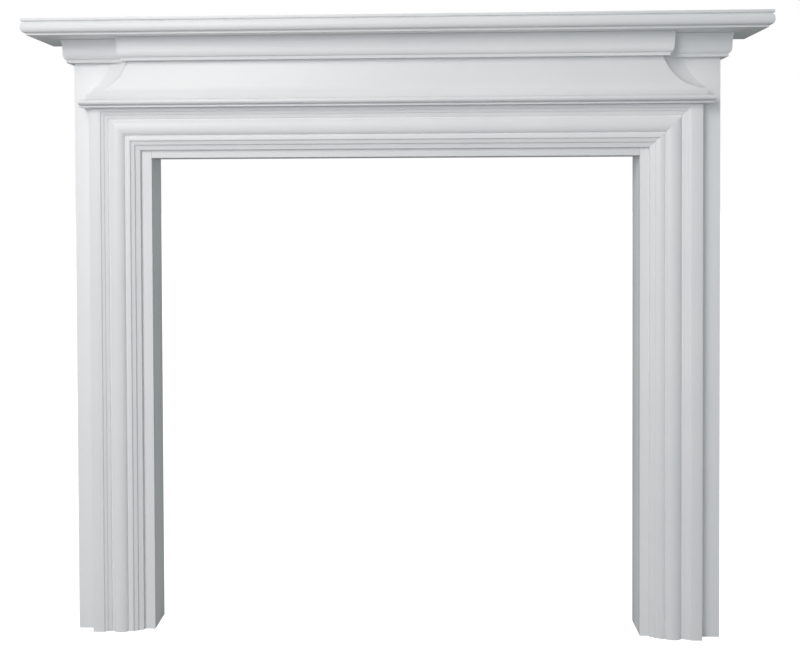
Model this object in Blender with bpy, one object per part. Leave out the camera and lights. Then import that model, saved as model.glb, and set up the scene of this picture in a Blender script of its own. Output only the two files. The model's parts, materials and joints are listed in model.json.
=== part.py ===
"""White painted timber fireplace mantelpiece: a moulded shelf on a breakfront crown, a frieze with
scooped ends, and a mitred architrave round the opening on two hollow legs.

The sizes count from the front face of the boards, with the wall DEPTH behind it and the floor at
z = 0. Each finished piece is then moved back a little, so that the origin is under the middle.
"""

import math

import bmesh
import bpy
from mathutils import Vector

# Gap left between pieces that touch.
GAP = 0.0003

# Body: the hollow box of boards behind the mouldings.
OPENING_WIDTH = 0.914
OPENING_HEIGHT = 0.897
LEG_WIDTH = 0.1465
DEPTH = 0.076
BOARD = 0.018

# Architrave round the opening. It is set back from the edge, by a different margin on each side.
MARGIN_LEFT = 0.020
MARGIN_RIGHT = 0.0165
MARGIN_TOP = 0.0145
ARCHITRAVE_WIDTH = 0.094
BAND_WIDTH = 0.0212
BAND_OUT = 0.020
TORUS_NEAR = 0.028
TORUS_WIDTH = 0.028
TORUS_FOOT_OUT = 0.0132
TORUS_OUT = 0.020

# Rail with a rounded nose under the frieze panel. It covers the top of the architrave.
ARCHITRAVE_COVERED = 0.015
RAIL_SET_IN = 0.0185
RAIL_STRIP_OUT = 0.034
RAIL_STRIP = 0.0030
RAIL_QUIRK_OUT = 0.0315
RAIL_QUIRK = 0.0018
NOSE_RADIUS = 0.0048
NOSE_CENTRE_OUT = 0.0373

# Frieze panel, which stands in front of the boards, with a scoop cut from each end.
PANEL_OUT = 0.028
FRIEZE_HEIGHT = 0.0713
FLARE_HEIGHT = 0.022
FLARE_OUT = 0.0115
FLARE_LIP = 0.001
SCOOP_FOOT = 0.0113
SCOOP_RISE = 0.0265
SCOOP_SET_IN = 0.0275
SCOOP_WIDTH_TOP = 0.060
SCOOP_WIDTH_FOOT = 0.010
SCOOP_TAPER = 2.2
SCOOP_BITE = 0.0012
PANEL_SET_IN = 0.0315
SHOULDER_STEP = 0.0007

# Crown moulding under the shelf.
CROWN_HEIGHT = 0.043
CROWN_TOP_OUT = 0.0205
CROWN_STRIP_OUT = 0.0115
CROWN_STRIP = 0.0055
CROWN_ROUND_OUT = 0.0055
CROWN_ROUND_HEIGHT = 0.0120

# Shelf.
SHELF_OVERHANG = 0.073
SHELF_FRONT = 0.087
SHELF_THICKNESS = 0.030

CURVE_STEPS = 8
SCOOP_STEPS = 22

# What follows from the sizes above.
HALF_OPENING = OPENING_WIDTH / 2
HALF_BODY = HALF_OPENING + LEG_WIDTH
RAIL_BOTTOM = OPENING_HEIGHT + MARGIN_TOP + ARCHITRAVE_WIDTH - ARCHITRAVE_COVERED
PANEL_BOTTOM = RAIL_BOTTOM + RAIL_STRIP + RAIL_QUIRK + 2 * NOSE_RADIUS + GAP
CROWN_BOTTOM = PANEL_BOTTOM + FRIEZE_HEIGHT
SHELF_UNDERSIDE = CROWN_BOTTOM + CROWN_HEIGHT
SHELF_TOP = SHELF_UNDERSIDE + SHELF_THICKNESS
BOARD_TOP = SHELF_UNDERSIDE - GAP
HALF_RAIL = HALF_BODY - RAIL_SET_IN
HALF_SHELF = HALF_BODY + SHELF_OVERHANG
SCOOP_CENTRE_X = HALF_BODY - SCOOP_SET_IN
SCOOP_CENTRE_Z = CROWN_BOTTOM + SCOOP_RISE
SCOOP_RADIUS = FRIEZE_HEIGHT + SCOOP_RISE - SCOOP_FOOT
HALF_PANEL = SCOOP_CENTRE_X - math.sqrt(SCOOP_RADIUS**2 - SCOOP_RISE**2) - SHOULDER_STEP
FLARE_RADIUS = (FLARE_HEIGHT**2 + FLARE_OUT**2) / (2 * FLARE_OUT)
FLARE_TURN = math.degrees(math.asin(FLARE_HEIGHT / FLARE_RADIUS))
MIDDLE = (SHELF_FRONT - DEPTH) / 2

X = Vector((1, 0, 0))
Y = Vector((0, 1, 0))
Z = Vector((0, 0, 1))


def paint(name):
    """A plain white satin paint for one piece."""
    material = bpy.data.materials.new(name + "_paint")
    material.use_nodes = True
    shader = material.node_tree.nodes["Principled BSDF"]
    shader.inputs["Base Color"].default_value = (0.80, 0.80, 0.79, 1)
    shader.inputs["Roughness"].default_value = 0.35
    return material


def keep(bm, name):
    """Turns the bmesh into a named object with its own material."""
    bmesh.ops.remove_doubles(bm, verts=bm.verts, dist=0.00001)
    bmesh.ops.recalc_face_normals(bm, faces=bm.faces)
    bmesh.ops.translate(bm, verts=bm.verts, vec=Y * MIDDLE)
    mesh = bpy.data.meshes.new(name)
    bm.to_mesh(mesh)
    bm.free()
    mesh.materials.append(paint(name))
    made = bpy.data.objects.new(name, mesh)
    bpy.context.scene.collection.objects.link(made)
    return made


def rings_to_bmesh(rings):
    """Joins rings of points in order and closes both ends."""
    bm = bmesh.new()
    loops = [[bm.verts.new(point) for point in ring] for ring in rings]
    for near, far in zip(loops, loops[1:]):
        count = len(near)
        for i in range(count):
            j = (i + 1) % count
            bm.faces.new((near[i], near[j], far[j], far[i]))
    bm.faces.new(loops[0])
    bm.faces.new(list(reversed(loops[-1])))
    return bm


def cut_away(bm, point, normal):
    """Cuts the solid by a plane, drops the side the normal points to and closes the cut."""
    cut = bmesh.ops.bisect_plane(
        bm,
        geom=bm.verts[:] + bm.edges[:] + bm.faces[:],
        plane_co=point,
        plane_no=normal,
        clear_outer=True,
        dist=0.0000001,
    )
    rim = [item for item in cut["geom_cut"] if isinstance(item, bmesh.types.BMEdge)]
    bmesh.ops.edgeloop_fill(bm, edges=rim)


def length_of(profile, origin, out, up, along, start, end, cuts=()):
    """A straight length of moulding: the profile run along a line, its ends cut by planes."""
    rings = []
    for reach in (start, end):
        rings.append([origin + out * a + up * b + along * reach for a, b in profile])
    bm = rings_to_bmesh(rings)
    bmesh.ops.recalc_face_normals(bm, faces=bm.faces)
    for point, normal in cuts:
        cut_away(bm, point, normal)
    return bm


def box(name, low, high):
    """A plain board between two corners."""
    corners = [(low[0], low[1]), (high[0], low[1]), (high[0], high[1]), (low[0], high[1])]
    rings = [[(x, y, z) for x, y in corners] for z in (low[2], high[2])]
    return keep(rings_to_bmesh(rings), name)


def arc(centre, radii, start, end, steps=CURVE_STEPS):
    """Points of an elliptical arc, angles in degrees."""
    points = []
    for i in range(steps + 1):
        turn = math.radians(start + (end - start) * i / steps)
        points.append((centre[0] + radii[0] * math.cos(turn), centre[1] + radii[1] * math.sin(turn)))
    return points


def shelf():
    """The shelf board with its moulded edge on the front and both ends."""
    drop = SHELF_THICKNESS
    edge = [(-0.0005, drop), (-0.0005, drop - 0.0047), (-0.0030, drop - 0.0053), (-0.0034, drop - 0.0070)]
    edge += arc((-0.0045, drop - 0.0163), (0.0045, 0.0091), 84, -84, 12)
    edge += [(-0.0085, drop - 0.0263), (-0.0085, 0)]
    rings = []
    for out, up in edge:
        x = HALF_SHELF + out
        front = -SHELF_FRONT - out
        z = SHELF_UNDERSIDE + up
        rings.append([(-x, front, z), (x, front, z), (x, DEPTH, z), (-x, DEPTH, z)])
    keep(rings_to_bmesh(rings), "shelf")


def crown_profile():
    """Section of the crown: distance out from its seat and height above its lower edge."""
    top = CROWN_HEIGHT - GAP
    middle = CROWN_STRIP + CROWN_ROUND_HEIGHT
    belly = CROWN_STRIP_OUT + CROWN_ROUND_OUT
    hollow = (CROWN_TOP_OUT - belly + 0.0002, top - middle - 0.0010)
    section = [(GAP, 0), (CROWN_STRIP_OUT, 0), (CROWN_STRIP_OUT, CROWN_STRIP)]
    section += arc((CROWN_STRIP_OUT, middle), (CROWN_ROUND_OUT, CROWN_ROUND_HEIGHT), -80, 0, 7)
    section += arc((CROWN_TOP_OUT + 0.0002, middle), hollow, 180, 100, 7)[1:]
    section += [(CROWN_TOP_OUT, top - 0.0015), (CROWN_TOP_OUT, top), (GAP, top)]
    return section


def mitre(corner, direction):
    """A 45 degree cut through a corner, opened by half the gap; the direction points at the waste."""
    normal = direction.normalized()
    return (corner - normal * (GAP / 2), normal)


def crown():
    """Seven lengths of crown, mitred where they turn."""
    section = crown_profile()
    seat = Vector((0, -PANEL_OUT, CROWN_BOTTOM))
    reach = HALF_PANEL + 2 * CROWN_TOP_OUT
    left_corner = Vector((-HALF_PANEL, -PANEL_OUT, 0))
    right_corner = Vector((HALF_PANEL, -PANEL_OUT, 0))
    cuts = [mitre(left_corner, -X + Y), mitre(right_corner, X + Y)]
    keep(length_of(section, seat, -Y, Z, X, -reach, reach, cuts), "crown_centre")
    for side, tag in ((-1, "left"), (1, "right")):
        outward = X * side
        inner = Vector((side * HALF_PANEL, 0, CROWN_BOTTOM))
        outer = Vector((side * HALF_BODY, 0, CROWN_BOTTOM))
        front = Vector((side * HALF_PANEL, -PANEL_OUT, 0))
        cuts = [mitre(front, -outward - Y), mitre(inner, outward + Y)]
        near = -PANEL_OUT - 2 * CROWN_TOP_OUT
        keep(length_of(section, inner, outward, Z, Y, near, CROWN_TOP_OUT, cuts), f"crown_return_{tag}")
        cuts = [mitre(inner, -outward - Y), mitre(outer, outward + Y)]
        foot = Vector((0, 0, CROWN_BOTTOM))
        far = HALF_BODY + 2 * CROWN_TOP_OUT
        keep(length_of(section, foot, -Y, Z, outward, HALF_PANEL, far, cuts), f"crown_end_{tag}")
        cuts = [mitre(outer, -outward - Y)]
        keep(length_of(section, outer, outward, Z, Y, -2 * CROWN_TOP_OUT, DEPTH, cuts), f"crown_side_{tag}")


def frieze_panel():
    """The panel in front of the boards, flared at its foot, a quarter round scoop cut from each end."""
    centre = (PANEL_OUT + FLARE_RADIUS, PANEL_BOTTOM + FLARE_LIP + FLARE_HEIGHT)
    section = [(GAP, PANEL_BOTTOM), (PANEL_OUT + FLARE_OUT, PANEL_BOTTOM)]
    section += arc(centre, (FLARE_RADIUS, FLARE_RADIUS), 180 + FLARE_TURN, 180, 12)
    section += [(PANEL_OUT, BOARD_TOP), (GAP, BOARD_TOP)]
    reach = HALF_BODY - PANEL_SET_IN
    panel = keep(length_of(section, Vector((0, 0, 0)), -Y, Z, X, -reach, reach), "frieze_panel")
    clear = -2 * (PANEL_OUT + FLARE_OUT)
    for side, tag in ((-1, "left"), (1, "right")):
        rings = []
        for i in range(SCOOP_STEPS + 1):
            turn = math.radians(170 + 110 * i / SCOOP_STEPS)
            share = min(max((math.degrees(turn) - 180) / 90, 0), 1)
            width = SCOOP_WIDTH_TOP - (SCOOP_WIDTH_TOP - SCOOP_WIDTH_FOOT) * share**SCOOP_TAPER
            wall = arc((SCOOP_RADIUS - width, -PANEL_OUT), (width, PANEL_OUT + SCOOP_BITE), 0, 90)
            shape = [(0, PANEL_OUT), (0, clear), (SCOOP_RADIUS, clear)] + wall
            shape.append((SCOOP_RADIUS - width, PANEL_OUT))
            hub = Vector((side * SCOOP_CENTRE_X, 0, SCOOP_CENTRE_Z))
            spoke = Vector((side * math.cos(turn), 0, math.sin(turn)))
            rings.append([hub + spoke * r + Y * y for r, y in shape])
        bm = rings_to_bmesh(rings)
        bmesh.ops.remove_doubles(bm, verts=bm.verts, dist=0.00001)
        bmesh.ops.recalc_face_normals(bm, faces=bm.faces)
        cut_away(bm, Vector((0, 0, CROWN_BOTTOM + 0.001)), Z)
        bmesh.ops.triangulate(bm, faces=bm.faces)
        scoop = keep(bm, f"scoop_cutter_{tag}")
        near, far = sorted((side * HALF_PANEL, side * HALF_SHELF))
        end = box(f"end_cutter_{tag}", (near, clear, CROWN_BOTTOM), (far, PANEL_OUT, SHELF_TOP))
        for cutter in (scoop, end):
            cutter.hide_render = True
            cutter.display_type = "WIRE"
            subtract = panel.modifiers.new(cutter.name, "BOOLEAN")
            subtract.operation = "DIFFERENCE"
            subtract.solver = "EXACT"
            subtract.object = cutter


def frieze_rail():
    """The rail under the panel: a rounded nose, a quirk and a narrow strip."""
    top = PANEL_BOTTOM - GAP
    nose_foot = top - 2 * NOSE_RADIUS
    strip_top = RAIL_BOTTOM + RAIL_STRIP
    section = [(GAP, top)]
    section += arc((NOSE_CENTRE_OUT, top - NOSE_RADIUS), (NOSE_RADIUS, NOSE_RADIUS), 90, -90, 10)
    section += [(RAIL_QUIRK_OUT, nose_foot), (RAIL_QUIRK_OUT, strip_top)]
    section += [(RAIL_STRIP_OUT, strip_top), (RAIL_STRIP_OUT, RAIL_BOTTOM), (GAP, RAIL_BOTTOM)]
    keep(length_of(section, Vector((0, 0, 0)), -Y, Z, X, -HALF_RAIL, HALF_RAIL), "frieze_rail")


def architrave_profile():
    """Section of the architrave: distance from its inner edge and distance out from the boards."""
    half = TORUS_WIDTH / 2
    section = [(0, GAP), (0, 0.0056), (0.0008, 0.0066), (0.0088, 0.0080), (0.0102, 0.0110)]
    section += [(0.0166, 0.0122), (0.0180, 0.0148), (0.0254, 0.0150), (0.0264, 0.0128)]
    section += arc((TORUS_NEAR + half, TORUS_FOOT_OUT), (half, TORUS_OUT - TORUS_FOOT_OUT), 176, 4, 12)
    band = ARCHITRAVE_WIDTH - BAND_WIDTH
    section += [(band - 0.0160, 0.0126), (band - 0.0142, 0.0129), (band - 0.0128, 0.0147)]
    section += [(band - 0.0074, 0.0153), (band - 0.0058, 0.0172), (band - 0.0014, 0.0178)]
    section += [(band, BAND_OUT), (ARCHITRAVE_WIDTH, BAND_OUT), (ARCHITRAVE_WIDTH, GAP)]
    return section


def architrave():
    """Two legs and a top length, mitred at the upper corners and trimmed under the rail."""
    section = architrave_profile()
    trim = (Vector((0, 0, RAIL_BOTTOM - GAP)), Z)
    cuts = [trim]
    inner_top = OPENING_HEIGHT + MARGIN_TOP
    for side, tag, margin in ((-1, "left", MARGIN_LEFT), (1, "right", MARGIN_RIGHT)):
        outward = X * side
        edge = outward * (HALF_OPENING + margin)
        corner = edge + Z * inner_top
        leg_cuts = [mitre(corner, Z - outward), trim]
        over = inner_top + 2 * ARCHITRAVE_WIDTH
        keep(length_of(section, edge, outward, -Y, Z, 0, over, leg_cuts), f"architrave_{tag}")
        cuts.append(mitre(corner, outward - Z))
    head = Z * inner_top
    reach = HALF_OPENING + 2 * ARCHITRAVE_WIDTH
    keep(length_of(section, head, Z, -Y, X, -reach, reach, cuts), "architrave_top")


def boards():
    """The boards of the body: stiles, header, returns of the legs and the lining over the opening."""
    back = DEPTH
    for side, tag in ((-1, "left"), (1, "right")):
        inner = side * HALF_OPENING
        outer = side * HALF_BODY
        low, high = sorted((inner, outer))
        box(f"stile_{tag}", (low, 0, 0), (high, BOARD, BOARD_TOP))
        low, high = sorted((outer - side * BOARD, outer))
        box(f"outer_return_{tag}", (low, BOARD + GAP, 0), (high, back, BOARD_TOP))
        low, high = sorted((inner, inner + side * BOARD))
        box(f"inner_return_{tag}", (low, BOARD + GAP, 0), (high, back, OPENING_HEIGHT - GAP))
    across = HALF_OPENING - GAP
    box("header_board", (-across, 0, OPENING_HEIGHT), (across, BOARD, BOARD_TOP))
    across = HALF_OPENING + BOARD
    box("head_return", (-across, BOARD + GAP, OPENING_HEIGHT), (across, back, OPENING_HEIGHT + BOARD))


for old in list(bpy.data.objects):
    bpy.data.objects.remove(old)
boards()
architrave()
frieze_rail()
frieze_panel()
crown()
shelf()
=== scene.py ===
"""White painted timber fireplace mantelpiece, dressed on its CAD frame and lit in a plain studio."""

import json
import math

import bmesh
import bpy
from mathutils import Matrix, Vector

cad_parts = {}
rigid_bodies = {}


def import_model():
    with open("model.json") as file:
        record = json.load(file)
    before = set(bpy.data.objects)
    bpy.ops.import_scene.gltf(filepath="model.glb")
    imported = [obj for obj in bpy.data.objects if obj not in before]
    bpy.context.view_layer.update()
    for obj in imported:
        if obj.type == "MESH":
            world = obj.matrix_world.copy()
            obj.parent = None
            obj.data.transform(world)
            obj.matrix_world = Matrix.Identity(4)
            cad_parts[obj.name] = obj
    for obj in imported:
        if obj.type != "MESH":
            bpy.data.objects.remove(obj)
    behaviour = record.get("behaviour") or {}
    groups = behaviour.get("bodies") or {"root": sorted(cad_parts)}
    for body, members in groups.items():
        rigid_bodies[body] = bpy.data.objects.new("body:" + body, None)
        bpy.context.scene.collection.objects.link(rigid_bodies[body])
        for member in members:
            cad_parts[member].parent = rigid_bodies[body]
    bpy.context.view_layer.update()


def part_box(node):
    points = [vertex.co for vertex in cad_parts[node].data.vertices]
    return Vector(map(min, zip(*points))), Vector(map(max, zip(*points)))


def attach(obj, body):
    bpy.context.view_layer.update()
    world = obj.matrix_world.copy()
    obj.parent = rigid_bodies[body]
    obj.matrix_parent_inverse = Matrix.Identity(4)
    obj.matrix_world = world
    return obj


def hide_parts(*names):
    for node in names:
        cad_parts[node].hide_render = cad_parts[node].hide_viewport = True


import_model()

X = Vector((1, 0, 0))
Y = Vector((0, 1, 0))
Z = Vector((0, 0, 1))

# Boards of the body: two full-height stiles with a header between them, planed softwood about 18 mm
# thick. The faces that show have brushed satin white; the backs only have a thin coat of primer, so
# the grain still reads. The edges are eased with a few strokes of sandpaper before painting.
EASED_EDGE = 0.0004
SMOOTH_ANGLE = math.radians(34)
SQUARE_ON = 0.9
STROKE_SCALE = (6.0, 520.0)
GRAIN_SCALE = (1.6, 38.0)


def brush_marks_group():
    """Film of paint laid on with a brush: fine lines along the stroke, slow waves and a faint mottle."""
    group = bpy.data.node_groups.new("brush_marks", "ShaderNodeTree")
    group.interface.new_socket("Stroke", in_out="INPUT", socket_type="NodeSocketVector")
    group.interface.new_socket("Place", in_out="INPUT", socket_type="NodeSocketVector")
    group.interface.new_socket("Height", in_out="OUTPUT", socket_type="NodeSocketFloat")
    group.interface.new_socket("Mottle", in_out="OUTPUT", socket_type="NodeSocketFloat")
    nodes, links = group.nodes, group.links
    given = nodes.new("NodeGroupInput")
    made = nodes.new("NodeGroupOutput")
    lines = nodes.new("ShaderNodeTexNoise")
    lines.inputs["Scale"].default_value = 1.0
    lines.inputs["Detail"].default_value = 3.0
    lines.inputs["Roughness"].default_value = 0.62
    links.new(given.outputs["Stroke"], lines.inputs["Vector"])
    waves = nodes.new("ShaderNodeTexNoise")
    waves.inputs["Scale"].default_value = 26.0
    waves.inputs["Detail"].default_value = 2.0
    links.new(given.outputs["Place"], waves.inputs["Vector"])
    both = nodes.new("ShaderNodeMath")
    both.operation = "MULTIPLY_ADD"
    both.inputs[1].default_value = 0.45
    links.new(waves.outputs["Fac"], both.inputs[0])
    links.new(lines.outputs["Fac"], both.inputs[2])
    links.new(both.outputs[0], made.inputs["Height"])
    mottle = nodes.new("ShaderNodeTexNoise")
    mottle.inputs["Scale"].default_value = 5.0
    mottle.inputs["Detail"].default_value = 4.0
    mottle.inputs["Roughness"].default_value = 0.55
    links.new(given.outputs["Place"], mottle.inputs["Vector"])
    links.new(mottle.outputs["Fac"], made.inputs["Mottle"])
    return group


brush_marks = brush_marks_group()


def satin_white(name, along):
    """Brushed satin white oil paint, its strokes along one axis of the piece."""
    material = bpy.data.materials.new(name)
    material.use_nodes = True
    nodes, links = material.node_tree.nodes, material.node_tree.links
    shader = nodes["Principled BSDF"]
    shader.inputs["IOR"].default_value = 1.5
    place = nodes.new("ShaderNodeTexCoord")
    stroke = nodes.new("ShaderNodeMapping")
    stroke.inputs["Scale"].default_value = [STROKE_SCALE[axis != along] for axis in "XYZ"]
    links.new(place.outputs["Object"], stroke.inputs["Vector"])
    film = nodes.new("ShaderNodeGroup")
    film.node_tree = brush_marks
    links.new(stroke.outputs["Vector"], film.inputs["Stroke"])
    links.new(place.outputs["Object"], film.inputs["Place"])
    tone = nodes.new("ShaderNodeValToRGB")
    tone.color_ramp.elements[0].position = 0.32
    tone.color_ramp.elements[0].color = (0.872, 0.877, 0.877, 1)
    tone.color_ramp.elements[1].position = 0.68
    tone.color_ramp.elements[1].color = (0.900, 0.902, 0.895, 1)
    links.new(film.outputs["Mottle"], tone.inputs["Fac"])
    links.new(tone.outputs["Color"], shader.inputs["Base Color"])
    sheen = nodes.new("ShaderNodeMapRange")
    sheen.inputs["From Min"].default_value = 0.3
    sheen.inputs["From Max"].default_value = 0.7
    sheen.inputs["To Min"].default_value = 0.36
    sheen.inputs["To Max"].default_value = 0.46
    links.new(film.outputs["Mottle"], sheen.inputs["Value"])
    links.new(sheen.outputs["Result"], shader.inputs["Roughness"])
    relief = nodes.new("ShaderNodeBump")
    relief.inputs["Strength"].default_value = 0.35
    relief.inputs["Distance"].default_value = 0.0002
    links.new(film.outputs["Height"], relief.inputs["Height"])
    links.new(relief.outputs["Normal"], shader.inputs["Normal"])
    return material


def primed_back(name, along):
    """Thin matt primer on planed softwood: the grain runs through it, drawn out along the board."""
    material = bpy.data.materials.new(name)
    material.use_nodes = True
    nodes, links = material.node_tree.nodes, material.node_tree.links
    shader = nodes["Principled BSDF"]
    shader.inputs["Roughness"].default_value = 0.75
    place = nodes.new("ShaderNodeTexCoord")
    stretch = nodes.new("ShaderNodeMapping")
    stretch.inputs["Scale"].default_value = [GRAIN_SCALE[axis != along] for axis in "XYZ"]
    links.new(place.outputs["Object"], stretch.inputs["Vector"])
    grain = nodes.new("ShaderNodeTexNoise")
    grain.inputs["Scale"].default_value = 1.0
    grain.inputs["Detail"].default_value = 6.0
    grain.inputs["Distortion"].default_value = 0.6
    links.new(stretch.outputs["Vector"], grain.inputs["Vector"])
    tone = nodes.new("ShaderNodeValToRGB")
    tone.color_ramp.elements[0].position = 0.35
    tone.color_ramp.elements[0].color = (0.56, 0.51, 0.43, 1)
    tone.color_ramp.elements[1].position = 0.62
    tone.color_ramp.elements[1].color = (0.72, 0.70, 0.65, 1)
    links.new(grain.outputs["Fac"], tone.inputs["Fac"])
    links.new(tone.outputs["Color"], shader.inputs["Base Color"])
    relief = nodes.new("ShaderNodeBump")
    relief.inputs["Strength"].default_value = 0.3
    relief.inputs["Distance"].default_value = 0.0003
    links.new(grain.outputs["Fac"], relief.inputs["Height"])
    links.new(relief.outputs["Normal"], shader.inputs["Normal"])
    return material


white_along = {axis: satin_white("satin_white_along_" + axis.lower(), axis) for axis in "XYZ"}
primer_along = {axis: primed_back("primed_back_along_" + axis.lower(), axis) for axis in "XYZ"}


def fit_piece(bm, name, grain, hidden=()):
    """Makes the object that stands for one CAD node; faces turned to a hidden side only get primer."""
    bmesh.ops.recalc_face_normals(bm, faces=bm.faces)
    for face in bm.faces:
        face.material_index = int(any(face.normal.dot(side) > SQUARE_ON for side in hidden))
    mesh = bpy.data.meshes.new(name)
    bm.to_mesh(mesh)
    bm.free()
    mesh.materials.append(white_along[grain])
    mesh.materials.append(primer_along[grain])
    mesh.shade_smooth()
    mesh.set_sharp_from_angle(angle=SMOOTH_ANGLE)
    piece = bpy.data.objects.new("painted_" + name, mesh)
    bpy.context.scene.collection.objects.link(piece)
    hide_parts(name)
    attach(piece, "root")


def plain_board(name, grain, hidden):
    """A planed board with eased edges, as long, wide and thick as its CAD node."""
    low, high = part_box(name)
    middle = (Vector(low) + Vector(high)) / 2
    size = Vector(high) - Vector(low)
    bm = bmesh.new()
    bmesh.ops.create_cube(bm, size=1, matrix=Matrix.Translation(middle) @ Matrix.Diagonal(size).to_4x4())
    bmesh.ops.bevel(
        bm, geom=bm.edges[:], offset=EASED_EDGE, affect="EDGES", segments=3, profile=0.5, material=-1
    )
    fit_piece(bm, name, grain, hidden)


for side in ("left", "right"):
    plain_board("stile_" + side, "Z", (Y,))
plain_board("header_board", "X", (Y,))

# Returns of the legs: narrow boards glued behind the stiles, one on the outside of each leg and one
# that lines the opening. They make each leg a hollow box, open at the back where it meets the wall.
for side, inward in (("left", X), ("right", -X)):
    plain_board("outer_return_" + side, "Z", (inward, Y))
    plain_board("inner_return_" + side, "Z", (-inward, Y))

# Lining over the opening: a board laid flat behind the header, resting on the linings of the legs. Its
# underside shows from low down. Its back and its upper face only have primer.
plain_board("head_return", "X", (Y, Z))

# Architrave: one run moulding planed from the solid and mitred at the upper corners. From the
# opening outwards it has small steps, a bead, a large half round, a hollow and a flat outer band.
board_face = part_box("stile_left")[0][1]
ARRIS = 0.0005
CRISP_ANGLE = math.radians(32)
MITRE_GAP = 0.0001
SEAT_GAP = 0.0003
ON_THE_CUT = 1e-5
HALF_BLANK = 0.7
SPARE = 0.1


def curve(centre, radii, start, end, steps):
    """Points on a hollow or a round of the moulding's section, angles in degrees."""
    turns = [math.radians(start + (end - start) * i / steps) for i in range(steps + 1)]
    return [(centre[0] + radii[0] * math.cos(t), centre[1] + radii[1] * math.sin(t)) for t in turns]


def saw_off(bm, point, normal):
    """Saws the length through and keeps the side that the normal points away from."""
    whole = bm.verts[:] + bm.edges[:] + bm.faces[:]
    sawn = bmesh.ops.bisect_plane(
        bm, geom=whole, plane_co=point, plane_no=normal, clear_outer=True, dist=1e-7
    )
    rim = [item for item in sawn["geom_cut"] if isinstance(item, bmesh.types.BMEdge)]
    bmesh.ops.edgeloop_fill(bm, edges=rim)


def mitre_cut(corner, waste):
    """The saw's plane for a 45 degree mitre through a corner."""
    normal = waste.normalized()
    return (corner - normal * MITRE_GAP / 2, normal)


def in_a_cut(edge, cuts):
    """Whether an edge lies in the plane of a saw cut, where filler and paint hide the joint."""
    for point, normal in cuts:
        if all(abs((v.co - point).dot(normal)) < ON_THE_CUT for v in edge.verts):
            return True
    return False


def ease_arrises(bm, width, cuts=()):
    """Takes the sharpness off every crisp edge, apart from those that lie in a saw cut."""
    sharp = [e for e in bm.edges if e.calc_face_angle(0) > CRISP_ANGLE]
    crisp = [e for e in sharp if not in_a_cut(e, cuts)]
    bmesh.ops.bevel(
        bm, geom=crisp, offset=width, affect="EDGES", segments=2, profile=0.5, material=-1,
        clamp_overlap=True,
    )


def run_length(section, seat, out, up, along, start, end, cuts=(), arris=ARRIS):
    """A length of moulding: its section set out on a line, run along it, sawn, and its arrises eased."""
    bm = bmesh.new()
    outline = [bm.verts.new(seat + out * a + up * b + along * start) for a, b in section]
    face = bm.faces.new(outline)
    moved = bmesh.ops.extrude_face_region(bm, geom=[face])
    far_end = [item for item in moved["geom"] if isinstance(item, bmesh.types.BMVert)]
    bmesh.ops.translate(bm, verts=far_end, vec=along * (end - start))
    bmesh.ops.recalc_face_normals(bm, faces=bm.faces)
    for point, normal in cuts:
        saw_off(bm, point, normal)
    bmesh.ops.recalc_face_normals(bm, faces=bm.faces)
    if arris:
        ease_arrises(bm, arris, cuts)
    return bm


architrave_section = [(0, SEAT_GAP), (0, 0.0056), (0.0008, 0.0066), (0.0088, 0.0080)]
architrave_section += [(0.0102, 0.0110), (0.0166, 0.0122), (0.0180, 0.0148), (0.0254, 0.0150)]
architrave_section += [(0.0264, 0.0128)]
architrave_section += curve((0.0420, 0.0132), (0.0140, 0.0068), 176, 4, 28)
architrave_section += [(0.0568, 0.0126), (0.0586, 0.0129), (0.0600, 0.0147), (0.0654, 0.0153)]
architrave_section += [(0.0670, 0.0172), (0.0714, 0.0178), (0.0728, 0.0200), (0.0940, 0.0200)]
architrave_section += [(0.0940, SEAT_GAP)]
trim_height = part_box("architrave_left")[1][2]
trim = (Z * trim_height, Z)
top_cuts = [trim]
inner_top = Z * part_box("architrave_top")[0][2]
for side, outward, nearest in (("left", -X, 1), ("right", X, 0)):
    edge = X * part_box("architrave_" + side)[nearest][0] + Y * board_face
    corner = edge + inner_top
    cuts = [mitre_cut(corner, Z - outward), trim]
    leg = run_length(architrave_section, edge, outward, -Y, Z, 0, trim_height + SPARE, cuts)
    fit_piece(leg, "architrave_" + side, "Z", (Y,))
    top_cuts.append(mitre_cut(corner, outward - Z))
top_seat = Y * board_face + inner_top
top = run_length(architrave_section, top_seat, Z, -Y, X, -HALF_BLANK, HALF_BLANK, top_cuts)
fit_piece(top, "architrave_top", "X", (Y,))

# Rail under the frieze: a narrow run moulding with a rounded nose, a deep quirk and a square strip,
# planted on the boards over the architrave's outer edge, its two ends sawn square.
rail_low, rail_high = (Vector(corner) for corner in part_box("frieze_rail"))
nose = 0.0048
quirk_out = 0.0315
lip_out = 0.0340
lip_rise = 0.0030
RAIL_ARRIS = 0.0003
nose_out = board_face - rail_low.y - nose
rail_rise = rail_high.z - rail_low.z
rail_section = [(SEAT_GAP, rail_rise)]
rail_section += curve((nose_out, rail_rise - nose), (nose, nose), 90, -90, 20)
rail_section += [(quirk_out, rail_rise - 2 * nose), (quirk_out, lip_rise), (lip_out, lip_rise)]
rail_section += [(lip_out, 0), (SEAT_GAP, 0)]
rail_seat = Y * board_face + Z * rail_low.z
rail = run_length(rail_section, rail_seat, -Y, Z, X, rail_low.x, rail_high.x, (), RAIL_ARRIS)
fit_piece(rail, "frieze_rail", "X", (Y,))

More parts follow.
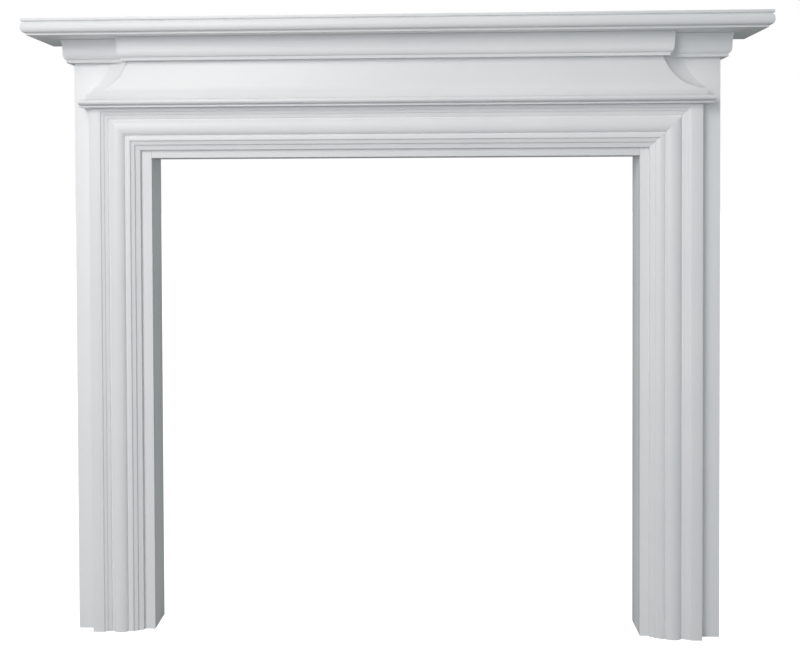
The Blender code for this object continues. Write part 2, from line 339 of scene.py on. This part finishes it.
# Frieze panel: a thick board planted in front of the others, its foot flared out to meet the rail.
# Each lower corner is scooped away in a quarter circle. The scoop's wall is a cove that is wide under
# the crown and narrow at the foot, and its lower edge is feathered out to the boards behind.
panel_low, panel_high = (Vector(corner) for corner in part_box("frieze_panel"))
PANEL_OUT = 0.028
FLARE_OUT = 0.0105
FLARE_RISE = 0.022
FLARE_LIP = 0.001
PAINTED_JOINT = 0.0002
PANEL_ARRIS = 0.0002
SCOOP_RADIUS = 0.0865
SCOOP_WIDTH = (0.060, 0.010)
SCOOP_TAPER = 2.2
SCOOP_BITE = 0.0012
SCOOP_RINGS = 67
SCOOP_START = 170
SCOOP_SWEEP = 110
CLEAR_IN_FRONT = -0.08
CLEAR_BEHIND = 0.02
SHOULDER_BLOCK = (0.2, 0.2, 0.1)
OVERLAP = 0.001
scoop_x = 0.576
scoop_z = 1.103
shoulder_x = 0.493
shoulder_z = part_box("crown_centre")[0][2]
flare = (FLARE_RISE**2 + FLARE_OUT**2) / (2 * FLARE_OUT)
flare_turn = math.degrees(math.asin(FLARE_RISE / flare))
flare_centre = (PANEL_OUT + flare, panel_low.z + FLARE_LIP + FLARE_RISE)
panel_foot = panel_low.z - PAINTED_JOINT
panel_section = [(SEAT_GAP, panel_foot), (PANEL_OUT + FLARE_OUT, panel_foot)]
panel_section += curve(flare_centre, (flare, flare), 180 + flare_turn, 180, 24)
panel_section += [(PANEL_OUT, panel_high.z), (SEAT_GAP, panel_high.z)]
blank = run_length(panel_section, Y * board_face, -Y, Z, X, panel_low.x, panel_high.x, (), 0)
panel_mesh = bpy.data.meshes.new("frieze_blank")
blank.to_mesh(panel_mesh)
blank.free()
panel = bpy.data.objects.new("frieze_blank", panel_mesh)
bpy.context.scene.collection.objects.link(panel)
scoops = []
for side in (-1, 1):
    hub = Vector((side * scoop_x, board_face, scoop_z))
    bm = bmesh.new()
    rings = []
    for i in range(SCOOP_RINGS):
        turn = math.radians(SCOOP_START + SCOOP_SWEEP * i / (SCOOP_RINGS - 1))
        share = min(max((math.degrees(turn) - 180) / 90, 0), 1)
        width = SCOOP_WIDTH[0] - (SCOOP_WIDTH[0] - SCOOP_WIDTH[1]) * share**SCOOP_TAPER
        inner = SCOOP_RADIUS - width
        shape = [(0, CLEAR_BEHIND), (0, CLEAR_IN_FRONT), (SCOOP_RADIUS, CLEAR_IN_FRONT)]
        shape += curve((inner, -PANEL_OUT), (width, PANEL_OUT + SCOOP_BITE), 0, 90, 24)
        shape += [(inner, CLEAR_BEHIND)]
        spoke = X * side * math.cos(turn) + Z * math.sin(turn)
        ring = [bm.verts.new(hub + spoke * r + Y * y) for r, y in shape]
        rings.append([bm.edges.new((a, b)) for a, b in zip(ring, ring[1:] + ring[:1])])
    for near, far in zip(rings, rings[1:]):
        for a, b in zip(near, far):
            bmesh.ops.contextual_create(bm, geom=[a, b])
    bmesh.ops.contextual_create(bm, geom=rings[0])
    bmesh.ops.contextual_create(bm, geom=rings[-1])
    bmesh.ops.remove_doubles(bm, verts=bm.verts, dist=1e-5)
    bmesh.ops.recalc_face_normals(bm, faces=bm.faces)
    saw_off(bm, Z * (shoulder_z + OVERLAP), Z)
    scoops.append(bm)
    bm = bmesh.new()
    wide, deep, tall = SHOULDER_BLOCK
    block_place = Matrix.Translation((side * (shoulder_x + wide / 2), 0, shoulder_z + tall / 2))
    bmesh.ops.create_cube(bm, size=1, matrix=block_place @ Matrix.Diagonal((wide, deep, tall, 1)))
    scoops.append(bm)
for number, bm in enumerate(scoops):
    cutter_mesh = bpy.data.meshes.new(f"gouge_{number}")
    bm.to_mesh(cutter_mesh)
    bm.free()
    gouge = bpy.data.objects.new(f"gouge_{number}", cutter_mesh)
    bpy.context.scene.collection.objects.link(gouge)
    carve = panel.modifiers.new(gouge.name, "BOOLEAN")
    carve.operation = "DIFFERENCE"
    carve.solver = "EXACT"
    carve.object = gouge
carved = bpy.data.meshes.new_from_object(panel.evaluated_get(bpy.context.evaluated_depsgraph_get()))
for used in [panel] + [o for o in bpy.data.objects if o.name.startswith("gouge_")]:
    bpy.data.objects.remove(used)
bm = bmesh.new()
bm.from_mesh(carved)
bmesh.ops.remove_doubles(bm, verts=bm.verts, dist=1e-6)
ease_arrises(bm, PANEL_ARRIS)
fit_piece(bm, "frieze_panel", "X", (Y,))

# Crown under the shelf: an ogee over a square strip, run in seven lengths. The middle length stands
# forward on the frieze panel, with short mitred returns; the outer lengths go on round the sides.
crown_low, crown_high = (Vector(corner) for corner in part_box("crown_centre"))
half_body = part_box("stile_right")[1][0]
strip_out = 0.0115
strip = 0.0055
crown_out = 0.0205
belly = (0.0055, 0.0120)
turn_out = 0.0002
top_strip = 0.0015
END_BLANK = (0.4, 0.7)
RETURN_BLANK = (-0.1, 0.05)
SIDE_START = -0.05
crown_rise = crown_high.z - crown_low.z
middle = strip + belly[1]
hollow = (0.0037, crown_rise - middle - 0.001)
crown_section = [(SEAT_GAP, 0), (strip_out, 0), (strip_out, strip)]
crown_section += curve((strip_out, middle), belly, -80, 0, 16)
crown_section += curve((crown_out + turn_out, middle), hollow, 180, 100, 16)[1:]
crown_section += [(crown_out, crown_rise - top_strip), (crown_out, crown_rise), (SEAT_GAP, crown_rise)]
crown_foot = Z * crown_low.z
panel_face = Y * (board_face - PANEL_OUT)
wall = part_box("crown_side_left")[1][1] - board_face
cuts = [mitre_cut(panel_face - X * shoulder_x, Y - X), mitre_cut(panel_face + X * shoulder_x, Y + X)]
middle_seat = panel_face + crown_foot
middle_length = run_length(crown_section, middle_seat, -Y, Z, X, -HALF_BLANK, HALF_BLANK, cuts)
fit_piece(middle_length, "crown_centre", "X", (Y, Z))
for side, outward in (("left", -X), ("right", X)):
    front_turn = panel_face + outward * shoulder_x
    inner_turn = Y * board_face + outward * shoulder_x
    outer_turn = Y * board_face + outward * half_body
    cuts = [mitre_cut(front_turn, -outward - Y), mitre_cut(inner_turn, outward + Y)]
    length = run_length(crown_section, inner_turn + crown_foot, outward, Z, Y, *RETURN_BLANK, cuts)
    fit_piece(length, "crown_return_" + side, "Y", (-outward, Z))
    cuts = [mitre_cut(inner_turn, -outward - Y), mitre_cut(outer_turn, outward + Y)]
    length = run_length(crown_section, Y * board_face + crown_foot, -Y, Z, outward, *END_BLANK, cuts)
    fit_piece(length, "crown_end_" + side, "X", (Y, Z))
    cuts = [mitre_cut(outer_turn, -outward - Y)]
    length = run_length(crown_section, outer_turn + crown_foot, outward, Z, Y, SIDE_START, wall, cuts)
    fit_piece(length, "crown_side_" + side, "Y", (-outward, Y, Z))

# Shelf: one thick board, its edge moulded on the front and both ends with a thin top fillet, a quirk,
# a large half round and a narrow strip. The back edge is sawn straight to sit against the wall.
shelf_low, shelf_high = (Vector(corner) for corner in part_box("shelf"))
thick = shelf_high.z - shelf_low.z
SHELF_ARRIS = 0.0006
edge_section = [(-0.0005, thick), (-0.0005, thick - 0.0047), (-0.0030, thick - 0.0053)]
edge_section += [(-0.0034, thick - 0.0070)]
edge_section += curve((-0.0045, thick - 0.0163), (0.0045, 0.0091), 84, -84, 24)
edge_section += [(-0.0085, thick - 0.0263), (-0.0085, 0)]
bm = bmesh.new()
rings = []
for out, up in edge_section:
    x = shelf_high.x + out
    front = shelf_low.y - out
    z = shelf_low.z + up
    corners = ((-x, shelf_high.y), (-x, front), (x, front), (x, shelf_high.y))
    ring = [bm.verts.new((a, b, z)) for a, b in corners]
    rings.append([bm.edges.new((p, q)) for p, q in zip(ring, ring[1:] + ring[:1])])
bmesh.ops.contextual_create(bm, geom=rings[0])
bmesh.ops.contextual_create(bm, geom=rings[-1])
for upper, lower in zip(rings, rings[1:]):
    bmesh.ops.bridge_loops(bm, edges=upper + lower)
bmesh.ops.recalc_face_normals(bm, faces=bm.faces)
ease_arrises(bm, SHELF_ARRIS)
fit_piece(bm, "shelf", "X", (Y,))

# Studio: a plain pale floor that runs out of sight and white all round. The light is a soft key from
# the upper left, a broad box further off in front, and a weak fill low on the right.
FLOOR_HALF = 60
FLOOR_GREY = 0.45
floor_mesh = bpy.data.meshes.new("floor")
bm = bmesh.new()
bmesh.ops.create_grid(bm, x_segments=1, y_segments=1, size=FLOOR_HALF)
bm.to_mesh(floor_mesh)
bm.free()
floor = bpy.data.objects.new("floor", floor_mesh)
bpy.context.scene.collection.objects.link(floor)
pale = bpy.data.materials.new("pale_floor")
pale.use_nodes = True
shader = pale.node_tree.nodes["Principled BSDF"]
shader.inputs["Base Color"].default_value = (FLOOR_GREY, FLOOR_GREY, FLOOR_GREY, 1)
shader.inputs["Roughness"].default_value = 0.9
shader.inputs["Emission Color"].default_value = (1, 1, 1, 1)
seen = pale.node_tree.nodes.new("ShaderNodeLightPath")
glow = pale.node_tree.nodes.new("ShaderNodeMath")
glow.operation = "MULTIPLY"
glow.inputs[1].default_value = 1.0
pale.node_tree.links.new(seen.outputs["Is Camera Ray"], glow.inputs[0])
pale.node_tree.links.new(glow.outputs[0], shader.inputs["Emission Strength"])
floor_mesh.materials.append(pale)

world = bpy.data.worlds.new("studio")
bpy.context.scene.world = world
world.use_nodes = True
sky = world.node_tree.nodes["Background"]
sky.inputs["Color"].default_value = (0.906, 0.984, 1.0, 1)
sky.inputs["Strength"].default_value = 0.387
white = world.node_tree.nodes.new("ShaderNodeBackground")
white.inputs["Color"].default_value = (1, 1, 1, 1)
white.inputs["Strength"].default_value = 1.0
either = world.node_tree.nodes.new("ShaderNodeMixShader")
ray = world.node_tree.nodes.new("ShaderNodeLightPath")
world.node_tree.links.new(ray.outputs["Is Camera Ray"], either.inputs["Fac"])
world.node_tree.links.new(sky.outputs["Background"], either.inputs[1])
world.node_tree.links.new(white.outputs["Background"], either.inputs[2])
world.node_tree.links.new(either.outputs["Shader"], world.node_tree.nodes["World Output"].inputs["Surface"])


def soft_box(name, place, target, width, height, watts, colour):
    """A large rectangular soft light aimed at a point."""
    light = bpy.data.lights.new(name, "AREA")
    light.shape = "RECTANGLE"
    light.size = width
    light.size_y = height
    light.energy = watts
    light.color = colour
    lamp = bpy.data.objects.new(name, light)
    lamp.location = place
    lamp.rotation_euler = (Vector(target) - Vector(place)).to_track_quat("-Z", "Y").to_euler()
    lamp.visible_camera = False
    bpy.context.scene.collection.objects.link(lamp)


soft_box("key", (-1.4, -2.6, 2.4), (0.0, 0.0, 0.7), 1.6, 1.6, 40.5, (1.0, 0.951, 0.926))
soft_box("front", (-2.5, -5.4, 1.6), (0.0, 0.0, 0.7), 2.0, 2.0, 63.4, (0.918, 0.921, 1.0))
soft_box("fill", (1.5, -4.0, 0.5), (0.0, 0.0, 0.5), 2.0, 2.0, 10.5, (0.85, 0.93, 1.0))

# Camera: nearly square on, a little to the right of the middle and about 0.3 m lower than the shelf,
# so that a narrow strip of the shelf's underside shows.
view = bpy.data.cameras.new("camera")
view.sensor_width = 36
view.lens = 50.49
view.shift_x = 0.03843
view.shift_y = -0.13709
camera = bpy.data.objects.new("camera", view)
camera.location = (0.05609, -2.09571, 0.81943)
camera.rotation_euler = [math.radians(turn) for turn in (88.8186, 0.23466, 2.7642)]
bpy.context.scene.collection.objects.link(camera)
bpy.context.scene.camera = camera
bpy.context.scene.view_settings.view_transform = "Standard"
